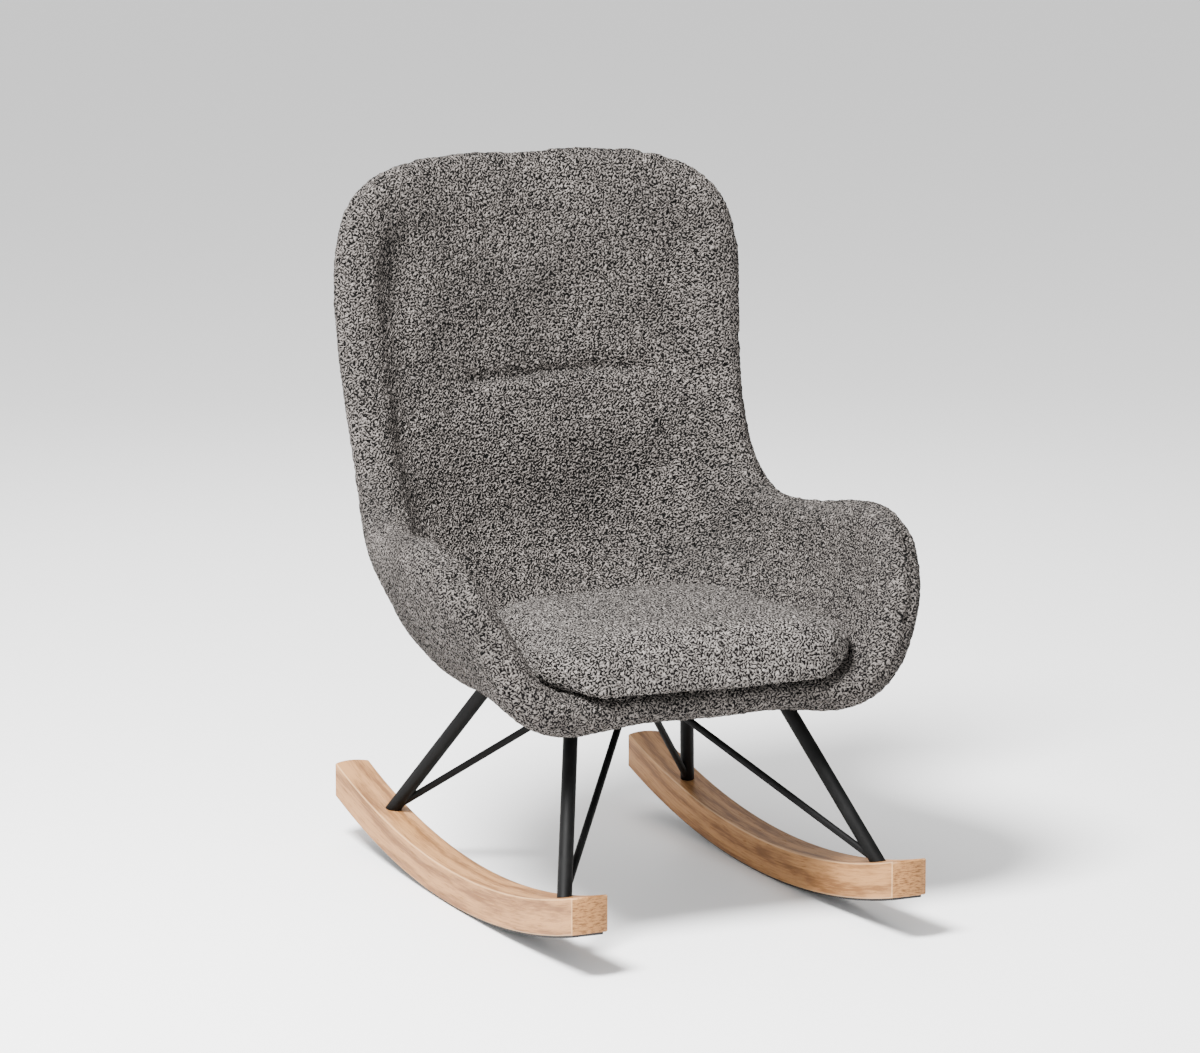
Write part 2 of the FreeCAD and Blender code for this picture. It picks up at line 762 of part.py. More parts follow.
def cut_for_tee_nuts(bucket_core, foam_above):
    """Flange pockets and barrel holes in the core, and hollows in the foam over them."""
    for place in bolt_places():
        flange_low = tee_nut_heights(place)[0]
        pocket_top = flange_low + FLANGE_POCKET_HEIGHT
        bucket_core = bucket_core.cut(bore(place, TEE_FLANGE_DIAMETER + 1, flange_low, pocket_top))
        bucket_core = bucket_core.cut(bore(place, TEE_BARREL_DIAMETER + SLACK, BOARD_BOTTOM, pocket_top))
        hollow_low = flange_low - TEE_BARREL_LENGTH
        hollow_top = flange_low + FOAM_HOLLOW_HEIGHT
        foam_above = foam_above.cut(bore(place, TEE_FLANGE_DIAMETER + 1, hollow_low, hollow_top))
    return bucket_core, foam_above


# ---------------------------------------------------------------- build every piece

core, inner_foam, outer_foam, inner_cover, outer_cover = make_bucket()
spacers = [make_spacer(place, core) for place in bolt_places()]
outer_foam = cut_for_spacers(cut_for_board(outer_foam))
outer_cover = cut_for_spacers(cut_for_board(outer_cover))
core, inner_foam = cut_for_tee_nuts(core, inner_foam)

save(core, "shell_core")
save(inner_foam, "inner_foam")
save(outer_foam, "outer_foam")
save(inner_cover, "inner_cover")
save(outer_cover, "outer_cover")
save(group(spacers), "mount_spacers")
save(group([make_bolt(place) for place in bolt_places()]), "mount_bolts")
save(group([make_tee_nut(place) for place in bolt_places()]), "tee_nuts")
save(group([make_washer(place) for place in bolt_places()]), "mount_washers")

foot_studs = []
foot_nuts = []
foot_washers = []
for side_x, side_name in ((1, "left"), (-1, "right")):
    save(make_rocker(side_x), "rocker_" + side_name)
    save(make_strip(side_x), "grip_strip_" + side_name)
    for foot_y, leg_top, brace_top, end_name in (
        (FRONT_FOOT_Y, FRONT_LEG_TOP, FRONT_BRACE_TOP, "front"),
        (REAR_FOOT_Y, REAR_LEG_TOP, REAR_BRACE_TOP, "rear"),
    ):
        save(make_leg(side_x, foot_y, leg_top), "leg_" + end_name + "_" + side_name)
        save(make_brace(side_x, foot_y, brace_top, leg_top), "brace_" + end_name + "_" + side_name)
        foot_studs.append(make_foot_stud(side_x, foot_y, leg_top))
        foot_nuts.append(make_foot_nut(side_x, foot_y))
        foot_washers.append(make_foot_washer(side_x, foot_y))
save(group(foot_studs), "foot_studs")
save(group(foot_nuts), "foot_nuts")
save(group(foot_washers), "foot_washers")

save(make_bar(FRONT_BAR_LENGTH, FRONT_LEG_TOP[1]), "frame_bar_front")
save(make_bar(REAR_BAR_LENGTH, REAR_LEG_TOP[1]), "frame_bar_rear")
save(make_spine(), "frame_spine")
save(make_hub(), "hub_plate")
save(make_board(), "base_board")
save(make_dust_cover(), "dust_cover")
save(make_staples(), "dust_cover_staples")

cushion_foam = cushion_body(CUSHION_FABRIC + SLACK)
cushion_cover = cushion_body(0).cut(cushion_body(CUSHION_FABRIC))
zip_tape, zip_slider = make_zip()
save(cushion_cover, "cushion_cover")
save(cushion_foam, "cushion_foam")
save(zip_tape, "cushion_zip_tape")
save(zip_slider, "cushion_zip_slider")
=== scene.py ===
# %% [markdown]
# # A rocking chair in looped cloth
# The chair is an upholstered bucket on four black steel legs and two bent oak rockers, with a
# loose cushion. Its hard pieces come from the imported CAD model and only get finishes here.
# Its soft pieces are modelled again, because cloth over foam is never as even as a CAD solid.
# Everything is in metres: +Z is up and the chair faces -Y.

# %% Load the frame
import json
import math

import bpy
import numpy as np
from mathutils import Matrix, Vector
from mathutils.bvhtree import BVHTree

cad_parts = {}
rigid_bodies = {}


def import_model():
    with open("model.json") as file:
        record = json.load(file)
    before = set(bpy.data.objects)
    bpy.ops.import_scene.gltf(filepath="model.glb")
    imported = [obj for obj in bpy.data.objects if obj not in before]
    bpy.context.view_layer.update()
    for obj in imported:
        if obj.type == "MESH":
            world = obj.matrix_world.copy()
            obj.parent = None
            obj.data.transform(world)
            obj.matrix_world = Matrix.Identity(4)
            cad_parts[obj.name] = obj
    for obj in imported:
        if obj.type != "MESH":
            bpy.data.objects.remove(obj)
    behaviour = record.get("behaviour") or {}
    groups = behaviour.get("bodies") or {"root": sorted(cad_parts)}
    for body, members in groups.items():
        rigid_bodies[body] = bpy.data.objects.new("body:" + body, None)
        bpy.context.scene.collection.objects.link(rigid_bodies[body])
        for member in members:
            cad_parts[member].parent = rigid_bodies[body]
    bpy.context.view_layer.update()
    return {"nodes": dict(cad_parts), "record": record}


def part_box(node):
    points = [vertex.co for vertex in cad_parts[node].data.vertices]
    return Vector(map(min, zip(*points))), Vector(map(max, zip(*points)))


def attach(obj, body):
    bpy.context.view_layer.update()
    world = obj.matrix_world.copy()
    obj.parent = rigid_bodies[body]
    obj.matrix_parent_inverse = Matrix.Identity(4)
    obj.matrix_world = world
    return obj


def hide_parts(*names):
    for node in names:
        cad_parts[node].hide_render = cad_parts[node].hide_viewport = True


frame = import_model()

nodes = frame["nodes"]


# %% [markdown]
# ## Working on a mesh
# Blender's operators act on whatever is selected, so each step starts by selecting one object and
# nothing else. Two small helpers also read and write all of a mesh's points at once with numpy,
# which is how the cloth is nudged where a hand would push or pull it.

# %% Selecting, and reading points
def select_only(piece):
    bpy.ops.object.select_all(action="DESELECT")
    piece.select_set(True)
    bpy.context.view_layer.objects.active = piece


def points_of(piece):
    flat = np.zeros(len(piece.data.vertices) * 3)
    piece.data.vertices.foreach_get("co", flat)
    return flat.reshape(-1, 3)


def normals_of(piece):
    flat = np.zeros(len(piece.data.vertices) * 3)
    piece.data.vertices.foreach_get("normal", flat)
    return flat.reshape(-1, 3)


def put_points(piece, points):
    piece.data.vertices.foreach_set("co", points.ravel())
    piece.data.update()


def ease(value, start, end):
    """0 before start, 1 after end, smooth between."""
    share = np.clip((value - start) / (end - start), 0, 1)
    return share * share * (3 - 2 * share)


def hump(value, centre, width):
    """1 at the centre, falling away on both sides."""
    return np.exp(-((value - centre) / width) ** 2)


# %% [markdown]
# ## Turning CAD solids into one soft skin
# The bucket is a plywood shell with foam and a cover on each side. From outside only the cloth
# shows, so copies of those solids are joined and remeshed into one skin of even little squares.
# An even mesh is what cloth needs: it bends the same way everywhere.

# %% Copy, join and remesh
def skin_of(names, title, voxel):
    bpy.ops.object.select_all(action="DESELECT")
    for name in names:
        twin = nodes[name].copy()
        twin.data = twin.data.copy()
        twin.parent = None
        for key in list(twin.keys()):
            del twin[key]
        twin.data.materials.clear()
        bpy.context.scene.collection.objects.link(twin)
        twin.select_set(True)
        bpy.context.view_layer.objects.active = twin
    bpy.ops.object.join()
    skin = bpy.context.view_layer.objects.active
    skin.name = title
    skin.data.name = title
    bpy.ops.object.mode_set(mode="EDIT")
    bpy.ops.mesh.select_all(action="SELECT")
    bpy.ops.mesh.remove_doubles(threshold=0.00002)
    bpy.ops.object.mode_set(mode="OBJECT")
    skin.data.remesh_voxel_size = voxel
    skin.data.remesh_voxel_adaptivity = 0
    bpy.ops.object.voxel_remesh()
    return keep_outer_sheet(skin)


def keep_outer_sheet(skin):
    """Drop closed hollows left inside, and keep only the sheet that is seen."""
    top = int(points_of(skin)[:, 2].argmax())
    bpy.ops.object.mode_set(mode="EDIT")
    bpy.ops.mesh.select_all(action="DESELECT")
    bpy.ops.object.mode_set(mode="OBJECT")
    skin.data.vertices[top].select = True
    bpy.ops.object.mode_set(mode="EDIT")
    bpy.ops.mesh.select_linked()
    bpy.ops.mesh.select_all(action="INVERT")
    bpy.ops.mesh.delete(type="VERT")
    bpy.ops.object.mode_set(mode="OBJECT")
    print(skin.name, "has", len(skin.data.vertices), "points")
    return skin


# %% Distance to a CAD piece
def distances_to(name, points):
    source = nodes[name].data
    corners = [v.co[:] for v in source.vertices]
    tree = BVHTree.FromPolygons(corners, [p.vertices[:] for p in source.polygons])
    return np.array([tree.find_nearest(Vector(p))[3] for p in points])


# %% [markdown]
# ## Letting the cloth fill out
# A cover is cut a little smaller than its foam, so it is always under a light pressure. Blender's
# Cloth does the same: the skin is blown up gently, and lines that are sewn or stapled are held
# still. The movement is capped so that the piece keeps the size it was designed with.

# %% Inflate with a cap
CLOTH_PRESSURE = 4
CLOTH_FRAMES = 16


def fill_out(skin, held, most):
    start = points_of(skin)
    group = skin.vertex_groups.new(name="held")
    for level in np.unique(held[held > 0]):
        group.add([int(i) for i in np.flatnonzero(held == level)], float(level), "REPLACE")
    select_only(skin)
    bpy.ops.object.modifier_add(type="CLOTH")
    cloth = skin.modifiers[-1]
    cloth.settings.quality = 3
    cloth.settings.use_pressure = True
    cloth.settings.uniform_pressure_force = CLOTH_PRESSURE
    cloth.settings.effector_weights.gravity = 0
    cloth.settings.vertex_group_mass = "held"
    cloth.collision_settings.use_collision = False
    cloth.point_cache.frame_end = CLOTH_FRAMES
    for moment in range(1, CLOTH_FRAMES + 1):
        bpy.context.scene.frame_set(moment)
    bpy.ops.object.modifier_apply(modifier=cloth.name)
    bpy.context.scene.frame_set(1)
    move = points_of(skin) - start
    length = np.linalg.norm(move, axis=1, keepdims=True)
    move *= np.tanh(length / most) * most / np.maximum(length, 1e-9)
    put_points(skin, start + move)
    skin.vertex_groups.clear()
    farthest = float(np.linalg.norm(move, axis=1).max())
    print(skin.name, "filled out by up to", round(farthest * 1000, 1), "mm")


# %% Relax and refine
def relax(skin, rounds):
    select_only(skin)
    bpy.ops.object.modifier_add(type="SMOOTH")
    skin.modifiers[-1].factor = 0.5
    skin.modifiers[-1].iterations = rounds
    bpy.ops.object.modifier_apply(modifier=skin.modifiers[-1].name)


def refine(skin):
    select_only(skin)
    bpy.ops.object.modifier_add(type="SUBSURF")
    skin.modifiers[-1].levels = 1
    skin.modifiers[-1].render_levels = 1
    bpy.ops.object.modifier_apply(modifier=skin.modifiers[-1].name)


# %% [markdown]
# ## The bucket
# The cover is sewn along the rim and tucked in across the lower back, where a seam pulls it into
# the foam over a soft lumbar pad. The seam and the tuck are held while the rest fills out.

# %% Remesh the bucket
COARSE_VOXEL = 0.007
FINE_VOXEL = 0.0042
SEAM_REACH = 0.007
bucket_solids = [
    "inner_cover", "outer_cover", "inner_foam", "outer_foam",
    "shell_core", "mount_spacers", "tee_nuts",
]
bucket = skin_of(bucket_solids, "bucket_upholstery", COARSE_VOXEL)
relax(bucket, 2)
places = points_of(bucket)
to_inner = distances_to("inner_cover", places)
to_outer = distances_to("outer_cover", places)
sitter_side = to_inner < to_outer
from_seam = np.maximum(to_inner, to_outer)
print("points on the sitter's side", int(sitter_side.sum()))
print("points near the rim seam", int((from_seam < SEAM_REACH).sum()))

# %% Where the cloth is held
TUCK_HEIGHT = 0.645
TUCK_ENDS = (-0.13, 0.2)
STITCH_HALF_WIDTH = 0.008
BOARD_MARGIN = 0.012
BUCKET_SWELL = 0.0035


def tuck_share(points):
    """How strongly the tuck across the back pulls at each point."""
    starting = ease(points[:, 0], TUCK_ENDS[0], TUCK_ENDS[0] + 0.07)
    ending = ease(points[:, 0], TUCK_ENDS[1] - 0.06, TUCK_ENDS[1])
    return starting * (1 - ending) * (points[:, 1] > 0.12)


board_low, board_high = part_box("base_board")
under_seat = (
    (np.abs(places[:, 0]) < board_high.x + BOARD_MARGIN)
    & (places[:, 1] > board_low.y - BOARD_MARGIN)
    & (places[:, 1] < board_high.y + BOARD_MARGIN)
    & (places[:, 2] < board_high.z + BOARD_MARGIN / 2)
)
held = np.zeros(len(places))
held[from_seam < SEAM_REACH] = 1
held[under_seat] = 1
near_tuck = hump(places[:, 2], TUCK_HEIGHT, STITCH_HALF_WIDTH) * tuck_share(places)
held[sitter_side & (near_tuck > 0.4)] = 1
fill_out(bucket, held, BUCKET_SWELL)
bucket.data.remesh_voxel_size = FINE_VOXEL
select_only(bucket)
bpy.ops.object.voxel_remesh()
relax(bucket, 2)
print("finer skin", len(bucket.data.vertices), "points")

# %% [markdown]
# ## Tuck, lumbar pad and hand-made unevenness
# These are wider shapes than a seam, so they are pushed into the skin along its own normals: a
# sharp step at the tuck, a round pad under it, two shallow hollows inside the wings, and slow
# waves of a millimetre or two everywhere, as foam under cloth always shows.

# %% Shape the sitter's side
TUCK_DEPTH = 0.010
LIP_RISE = 0.007
PAD_RISE = 0.016
FOLD_DEPTH = 0.0045
WING_HOLLOW = 0.007
places = points_of(bucket)
outward = normals_of(bucket)
to_inner = distances_to("inner_cover", places)
to_outer = distances_to("outer_cover", places)
sitter_side = to_inner < to_outer
from_seam = np.maximum(to_inner, to_outer)
x, y, z = places.T
facing = sitter_side * ease(-outward[:, 1], 0.15, 0.6) * (y > 0.1)

line = TUCK_HEIGHT + 0.004 * np.sin(x * 22)
step = tuck_share(places)
above = np.where(z > line, np.exp(-(z - line) / 0.022), 0)
under = np.maximum(line - z, 0)
below = np.exp(-under / 0.075) * (1 - np.exp(-under / 0.006))
pad = hump(x, 0.01, 0.155) * hump(z, 0.555, 0.08)
push = facing * (-TUCK_DEPTH * above * step + LIP_RISE * below * step + PAD_RISE * pad)
fold = hump(x + 0.75 * (z - 0.56), -0.035, 0.012) * hump(z, 0.565, 0.045)
push -= facing * FOLD_DEPTH * fold
wing_height = ease(z, 0.50, 0.60) * (1 - ease(z, 0.83, 0.90))
wing = sitter_side * hump(np.abs(x), 0.205, 0.03) * wing_height
push -= WING_HOLLOW * wing
put_points(bucket, places + outward * push[:, None])
print("pushed by", (push.min() * 1000).round(1), "to", (push.max() * 1000).round(1), "mm")

# %% [markdown]
# ## Seams and loops
# The rim seam is a shallow groove where the two covers meet. The loops of the cloth are 5 to 6 mm
# across. Displace with a fine cloud pattern raises real lumps of that size, which also break up the
# outline; the material adds the finer yarn.

# %% Groove and loops
SEAM_DEPTH = 0.0026
SEAM_WIDTH = 0.0045
LOOP_SIZE = 0.006
LOOP_HEIGHT = 0.0024


def sew(skin, distance, depth, width):
    groove = depth * hump(distance, 0, width)
    put_points(skin, points_of(skin) - normals_of(skin) * groove[:, None])


def push_by_pattern(skin, pattern, height):
    select_only(skin)
    bpy.ops.object.modifier_add(type="DISPLACE")
    bumps = skin.modifiers[-1]
    bumps.texture = pattern
    bumps.texture_coords = "LOCAL"
    bumps.strength = height
    bumps.mid_level = 0.5
    bpy.ops.object.modifier_apply(modifier=bumps.name)


def make_waves(skin, title, size, height):
    pattern = bpy.data.textures.new(title, "CLOUDS")
    pattern.noise_scale = size
    pattern.noise_depth = 1
    push_by_pattern(skin, pattern, height)


def raise_loops(skin, title):
    pattern = bpy.data.textures.new(title, "CLOUDS")
    pattern.noise_scale = LOOP_SIZE
    pattern.noise_depth = 0
    pattern.noise_basis = "VORONOI_F1"
    push_by_pattern(skin, pattern, LOOP_HEIGHT)


sew(bucket, from_seam, SEAM_DEPTH, SEAM_WIDTH)
refine(bucket)
make_waves(bucket, "foam unevenness", 0.11, 0.006)
raise_loops(bucket, "cloth loops")
select_only(bucket)
bpy.ops.object.shade_smooth()
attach(bucket, "chair")
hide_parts("inner_cover", "outer_cover", "inner_foam", "outer_foam")
print("bucket has", len(bucket.data.polygons), "faces")

# %% [markdown]
# ## The seat cushion
# It is a loose foam pad in its own cover. It starts from the CAD pad, is shrunk a little, and is
# blown up again under cloth pressure so that its faces crown and its edges go soft. It stays flat
# where it lies in the bucket, and its front droops a little over the lip.

# %% Remesh and fill the cushion
CUSHION_VOXEL = 0.005
CUSHION_SHRINK = 0.003
CUSHION_SWELL = 0.0075
cushion = skin_of(["cushion_cover", "cushion_foam"], "seat_cushion_pad", CUSHION_VOXEL)
relax(cushion, 4)
cushion_low, cushion_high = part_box("cushion_cover")
put_points(cushion, points_of(cushion) - normals_of(cushion) * CUSHION_SHRINK)
resting = ease(-normals_of(cushion)[:, 2], 0.3, 0.8)
fill_out(cushion, (resting > 0.5).astype(float), CUSHION_SWELL)

# %% Crown and droop
CROWN_RISE = 0.006
REAR_DROP = 0.020
SIDE_BULGE = 0.055
FRONT_DROOP = 0.016
places = points_of(cushion)
x, y, z = places.T
mid_y = (cushion_low.y + cushion_high.y) / 2
half_x = (cushion_high.x - cushion_low.x) / 2
half_y = (cushion_high.y - cushion_low.y) / 2
height_share = (z - cushion_low.z) / (cushion_high.z - cushion_low.z)
across_share = np.clip(1 - (np.abs(x) / half_x) ** 2.4, 0, 1)
deep_share = np.clip(1 - (np.abs(y - mid_y) / half_y) ** 2.6, 0, 1)
middle_share = across_share * deep_share
left_share = 1 - 0.6 * ease(x, -0.05, 0.1)
rear = ease(y, -0.08, 0.09) * left_share
crown = CROWN_RISE * middle_share - REAR_DROP * rear * (1 - middle_share)
places[:, 2] += ease(height_share, 0.3, 1) * crown
full = ease(-y, 0.10, 0.22) * hump(height_share, 0.5, 0.5)
places[:, 0] *= 1 + SIDE_BULGE * full
front = 1 - ease(y, cushion_low.y, cushion_low.y + 0.028)
places[:, 2] -= FRONT_DROOP * front * (1 - ease(height_share, 0.25, 0.95))
rear_corner = np.clip((np.abs(x) - 0.07) / 0.1, 0, 1.2) ** 2 * ease(y, -0.02, 0.10)
front_corner = np.clip((np.abs(x) - 0.13) / 0.1, 0, 1.2) ** 2 * ease(-y, 0.20, 0.28)
places[:, 1] += 0.012 * front_corner - 0.032 * rear_corner * left_share
places[:, 0] += 0.009 * ease(x, 0.05, 0.2)
put_points(cushion, places)
refine(cushion)
make_waves(cushion, "cushion unevenness", 0.09, 0.005)
raise_loops(cushion, "cushion loops")
select_only(cushion)
bpy.ops.object.shade_smooth()
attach(cushion, "seat_cushion")
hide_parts("cushion_cover", "cushion_foam")
places = points_of(cushion)
print("cushion box", places.min(0).round(3), places.max(0).round(3))

# %% [markdown]
# ## Shared finishes
# A node group is a small machine that more than one material can use. Each one here takes the
# object's own coordinates in metres and gives back colours, masks and heights, so a pattern has
# the same real size on every piece.

# %% Node helpers
def new_group(title, inputs, outputs):
    tree = bpy.data.node_groups.new(title, "ShaderNodeTree")
    for name, kind, value in inputs:
        socket = tree.interface.new_socket(name=name, in_out="INPUT", socket_type=kind)
        if value is not None:
            socket.default_value = value
    for name, kind in outputs:
        tree.interface.new_socket(name=name, in_out="OUTPUT", socket_type=kind)
    return tree, tree.nodes.new("NodeGroupInput"), tree.nodes.new("NodeGroupOutput")


def add(tree, kind, **settings):
    node = tree.nodes.new(kind)
    for name, value in settings.items():
        setattr(node, name, value)
    return node


def math_node(tree, operation, first, second=0.0, third=None):
    node = add(tree, "ShaderNodeMath", operation=operation)
    for slot, value in enumerate((first, second) if third is None else (first, second, third)):
        if isinstance(value, (int, float)):
            node.inputs[slot].default_value = value
        else:
            tree.links.new(value, node.inputs[slot])
    return node.outputs[0]


def mix_colours(tree, share, first, second, blend="MIX"):
    node = add(tree, "ShaderNodeMix", data_type="RGBA", blend_type=blend)
    for socket, value in ((node.inputs[0], share), (node.inputs[6], first), (node.inputs[7], second)):
        if isinstance(value, (int, float, tuple)):
            socket.default_value = value
        else:
            tree.links.new(value, socket)
    return node.outputs[2]


def noise(tree, place, scale, detail=2.0, rough=0.5):
    node = add(tree, "ShaderNodeTexNoise")
    node.inputs["Scale"].default_value = scale
    node.inputs["Detail"].default_value = detail
    node.inputs["Roughness"].default_value = rough
    tree.links.new(place, node.inputs["Vector"])
    return node


def between(tree, value, low, high):
    """0 below low and 1 above high."""
    node = add(tree, "ShaderNodeMapRange", interpolation_type="SMOOTHSTEP")
    tree.links.new(value, node.inputs["Value"])
    node.inputs["From Min"].default_value = low
    node.inputs["From Max"].default_value = high
    return node.outputs["Result"]


def finish_named(title, roughness=0.5, metallic=0.0, **constants):
    material = bpy.data.materials.new(title)
    material.use_nodes = True
    tree = material.node_tree
    shader = tree.nodes["Principled BSDF"]
    shader.inputs["Roughness"].default_value = roughness
    shader.inputs["Metallic"].default_value = metallic
    for name, value in constants.items():
        shader.inputs[name.replace("_", " ")].default_value = value
    place = add(tree, "ShaderNodeTexCoord").outputs["Object"]
    return material, tree, shader, place


def add_bump(tree, shader, height, distance, strength=1.0):
    bump = add(tree, "ShaderNodeBump")
    bump.inputs["Distance"].default_value = distance
    bump.inputs["Strength"].default_value = strength
    tree.links.new(height, bump.inputs["Height"])
    tree.links.new(bump.outputs["Normal"], shader.inputs["Normal"])


# %% [markdown]
# ### Looped cloth
# Boucle is woven from a curly yarn. Seen close, it is a field of small bright curls with dark pits
# between them; the dark of the pits is painted shade, a near-black colour where shade falls between
# the loops. Sines and cosines of the three directions, multiplied and added, make even rows that
# wind through space without a seam. A slow noise bends them, a finer one frays their strands, and a
# very slow one lightens and darkens the colour in random patches, painted light and shade that
# stands in for the shading of the uneven pile.

# %% Looped cloth group
LOOP_PITCH = 0.0055
loops, inside, outside = new_group(
    "looped cloth",
    [("Place", "NodeSocketVector", None), ("Yarn", "NodeSocketColor", (0.3, 0.28, 0.27, 1)),
     ("Painted Pit Shade", "NodeSocketColor", (0.05, 0.045, 0.042, 1)), ("Painted Light Patchiness", "NodeSocketFloat", 0.25)],
    [("Color", "NodeSocketColor"), ("Height", "NodeSocketFloat")],
)
wander = noise(loops, inside.outputs["Place"], 95, 2)
shift = add(loops, "ShaderNodeVectorMath", operation="SCALE")
loops.links.new(wander.outputs["Color"], shift.inputs[0])
shift.inputs["Scale"].default_value = 0.014
warped = add(loops, "ShaderNodeVectorMath", operation="ADD")
loops.links.new(inside.outputs["Place"], warped.inputs[0])
loops.links.new(shift.outputs[0], warped.inputs[1])
turns = add(loops, "ShaderNodeVectorMath", operation="SCALE")
loops.links.new(warped.outputs[0], turns.inputs[0])
turns.inputs["Scale"].default_value = 2 * math.pi / LOOP_PITCH
axes = add(loops, "ShaderNodeSeparateXYZ")
loops.links.new(turns.outputs[0], axes.inputs[0])
sines = [math_node(loops, "SINE", axes.outputs[axis]) for axis in range(3)]
cosines = [math_node(loops, "COSINE", axes.outputs[axis]) for axis in range(3)]
winding = 0.5
for axis in range(3):
    crossing = math_node(loops, "MULTIPLY", sines[axis], cosines[(axis + 1) % 3])
    winding = math_node(loops, "ADD", math_node(loops, "MULTIPLY", crossing, 0.33), winding)
strand = noise(loops, warped.outputs[0], 520, 1).outputs["Fac"]
fray = math_node(loops, "MULTIPLY", math_node(loops, "SUBTRACT", strand, 0.5), 0.9)
curls = math_node(loops, "ADD", winding, fray)
# Painted shade: where the curls sit low, the colour goes to the near-black pit colour, the shade that falls
# between the loops.
lit = between(loops, curls, 0.19, 0.72)
base = mix_colours(loops, lit, inside.outputs["Painted Pit Shade"], inside.outputs["Yarn"])
# Painted light and shade: a slow random noise lightens and darkens the cloth colour in patches, standing in
# for the shading of the uneven pile.
patch = noise(loops, inside.outputs["Place"], 10, 2, 0.5).outputs["Fac"]
patch_painted_light = math_node(loops, "MULTIPLY", math_node(loops, "SUBTRACT", patch, 0.5), inside.outputs["Painted Light Patchiness"])
shade = math_node(loops, "ADD", 1.0, math_node(loops, "MULTIPLY", patch_painted_light, 2.0))
patch_light_and_shade = add(loops, "ShaderNodeCombineColor")
for channel in range(3):
    loops.links.new(shade, patch_light_and_shade.inputs[channel])
loops.links.new(mix_colours(loops, 1.0, base, patch_light_and_shade.outputs[0], "MULTIPLY"), outside.inputs["Color"])
loops.links.new(curls, outside.inputs["Height"])


# %% Cloth materials
def looped_cloth(title, yarn, painted_pit_shade, painted_light_patchiness):
    material, tree, shader, place = finish_named(
        title, 0.95, Sheen_Weight=0.02, Sheen_Roughness=0.6, Specular_IOR_Level=0.04,
    )
    group = add(tree, "ShaderNodeGroup", node_tree=loops)
    tree.links.new(place, group.inputs["Place"])
    group.inputs["Yarn"].default_value = (*yarn, 1)
    # Painted shade: the pit colour is a near-black that stands in for the shade in the hollows between the
    # loops.
    group.inputs["Painted Pit Shade"].default_value = (*painted_pit_shade, 1)
    # Painted light and shade: this sets how strongly the slow patches lighten and darken the cloth colour.
    group.inputs["Painted Light Patchiness"].default_value = painted_light_patchiness
    tree.links.new(group.outputs["Color"], shader.inputs["Base Color"])
    add_bump(tree, shader, group.outputs["Height"], 0.008, 1.0)
    return material


# One cloth in two copies of different brightness: the cushion's yarn is lighter, painted light for its top
# that faces the lamps, and the bucket's is darker, painted shade.
upholstery_cloth_painted_shade = looped_cloth(
    "warm grey looped cloth, painted shade", (0.2, 0.18, 0.167), (0.0012, 0.0011, 0.001), 0.5,
)
cushion_cloth_painted_light = looped_cloth(
    "cushion looped cloth, painted light", (0.285, 0.26, 0.243), (0.0015, 0.0013, 0.0012), 0.3,
)

# %% [markdown]
# ### Oak
# Each rocker is one bent slat, so its grain runs along the arc. The group turns a place into
# three directions of its own: along the arc, across the slat, and towards the rocking centre.
# Growth rings, short dark pores and slow colour changes are all stretched along the first one.

# %% Oak group
ROCKER_RADIUS = 1.505
oak, inside, outside = new_group(
    "oak grain",
    [("Place", "NodeSocketVector", None), ("Light", "NodeSocketColor", (0.6, 0.4, 0.25, 1)),
     ("Dark", "NodeSocketColor", (0.4, 0.24, 0.13, 1)), ("Ring Contrast", "NodeSocketFloat", 0.5)],
    [("Color", "NodeSocketColor"), ("Height", "NodeSocketFloat"), ("Pores", "NodeSocketFloat")],
)
split = add(oak, "ShaderNodeSeparateXYZ")
oak.links.new(inside.outputs["Place"], split.inputs[0])
drop = math_node(oak, "SUBTRACT", ROCKER_RADIUS, split.outputs["Z"])
angle = math_node(oak, "ARCTAN2", split.outputs["Y"], drop)
along = math_node(oak, "MULTIPLY", angle, ROCKER_RADIUS)
squares = math_node(
    oak, "ADD",
    math_node(oak, "MULTIPLY", split.outputs["Y"], split.outputs["Y"]),
    math_node(oak, "MULTIPLY", drop, drop),
)
inward = math_node(oak, "SUBTRACT", ROCKER_RADIUS, math_node(oak, "SQRT", squares))


def stretched(along_scale):
    node = add(oak, "ShaderNodeCombineXYZ")
    oak.links.new(split.outputs["X"], node.inputs[0])
    oak.links.new(math_node(oak, "MULTIPLY", along, along_scale), node.inputs[1])
    oak.links.new(inward, node.inputs[2])
    return node.outputs[0]


sway = noise(oak, stretched(0.16), 14, 2, 0.5).outputs["Fac"]
ring_place = math_node(
    oak, "ADD",
    math_node(oak, "MULTIPLY", split.outputs["X"], 130),
    math_node(oak, "MULTIPLY", inward, 210),
)
ring_place = math_node(oak, "ADD", ring_place, math_node(oak, "MULTIPLY", sway, 26))
rings = math_node(oak, "ADD", math_node(oak, "MULTIPLY", math_node(oak, "SINE", ring_place), 0.5), 0.5)
fine = noise(oak, stretched(0.06), 340, 3, 0.65).outputs["Fac"]
pores = between(oak, noise(oak, stretched(0.05), 560, 2, 0.6).outputs["Fac"], 0.60, 0.70)
tone = noise(oak, stretched(0.3), 20, 3, 0.55).outputs["Fac"]
mark = math_node(oak, "MULTIPLY", rings, inside.outputs["Ring Contrast"])
mark = math_node(oak, "ADD", mark, math_node(oak, "MULTIPLY", math_node(oak, "SUBTRACT", fine, 0.5), 2.6))
mark = math_node(oak, "ADD", mark, math_node(oak, "MULTIPLY", math_node(oak, "SUBTRACT", tone, 0.5), 1.1))
wood = mix_colours(oak, between(oak, mark, -0.3, 1.15), inside.outputs["Light"], inside.outputs["Dark"])
deep = math_node(oak, "MULTIPLY", pores, 0.6)
wood = mix_colours(oak, deep, wood, (0.16, 0.085, 0.04, 1))
